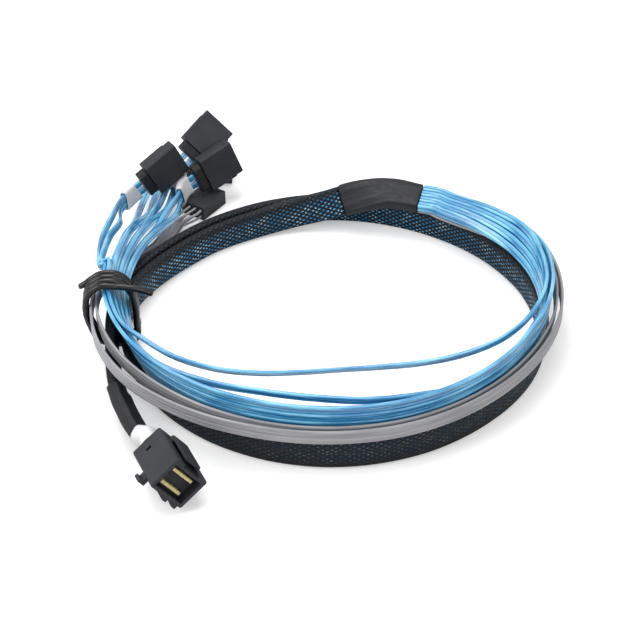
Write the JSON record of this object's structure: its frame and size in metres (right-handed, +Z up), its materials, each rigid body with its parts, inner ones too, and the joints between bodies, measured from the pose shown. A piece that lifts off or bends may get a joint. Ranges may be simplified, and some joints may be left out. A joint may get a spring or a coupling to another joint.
{
  "type": "storage breakout cable",
  "caption": "Coiled storage breakout cable: square latching host plug, flat braided sleeve, blue flat leads to slim drive plugs and a grey ribbon to a small header plug.",
  "frame": {"origin": "middle of the box's underside, on the surface that the coil lies on", "axes": "+Z up; +Y from the host plug towards the side where the drive plugs are; +X to the right of that"},
  "size_m": [0.1638, 0.194, 0.0306],
  "materials": {
    "housing_black": "fine matt moulded black",
    "relief_black": "matt moulded black",
    "sleeve_braid": "open black monofilament braid",
    "boot_shrink": "satin black heat-shrink",
    "lead_blue": "glossy pale blue jacket",
    "ribbon_grey": "satin mid-grey jacket",
    "tie_wire": "glossy black plastic over wire",
    "label_pale": "satin pale grey label",
    "card_tan": "tan circuit-board edge",
    "contact_gold": "gold-plated contact"
  },
  "bodies": {
    "cable": {"host_housing": "housing_black", "host_insert": "relief_black", "paddle_card_1": "card_tan", "paddle_card_2": "card_tan", "drive_plug_1": "housing_black", "drive_contacts_1": "contact_gold", "drive_relief_1": "relief_black", "drive_plug_2": "housing_black", "drive_contacts_2": "contact_gold", "drive_relief_2": "relief_black", "drive_plug_3": "housing_black", "drive_contacts_3": "contact_gold", "drive_relief_3": "relief_black", "drive_plug_4": "housing_black", "drive_contacts_4": "contact_gold", "drive_relief_4": "relief_black", "sideband_plug": "housing_black", "sideband_contact_1": "contact_gold", "sideband_contact_2": "contact_gold", "sideband_contact_3": "contact_gold", "sideband_contact_4": "contact_gold", "sideband_contact_5": "contact_gold", "sideband_contact_6": "contact_gold", "sideband_contact_7": "contact_gold", "sideband_contact_8": "contact_gold", "host_boot": "boot_shrink", "braided_sleeve": "sleeve_braid", "breakout_boot": "boot_shrink", "lead_1": "lead_blue", "lead_2": "lead_blue", "lead_3": "lead_blue", "lead_4": "lead_blue", "lead_5": "lead_blue", "lead_6": "lead_blue", "lead_7": "lead_blue", "lead_8": "lead_blue", "label_1": "label_pale", "label_2": "label_pale", "label_3": "label_pale", "label_4": "label_pale", "host_label": "label_pale", "ribbon_1": "ribbon_grey", "ribbon_2": "ribbon_grey", "wire_tie": "tie_wire"},
    "latch": {"host_latch": "housing_black"}
  },
  "joints": [
    {"name": "latch_press", "type": "hinge", "parent": "cable", "child": "latch", "pos_m": [-0.04274, -0.07849, 0.01232], "axis": [0.5796, 0.1389, -0.803], "range_deg": [0, 4], "stiffness_Nm_per_rad": 0.02}
  ]
}
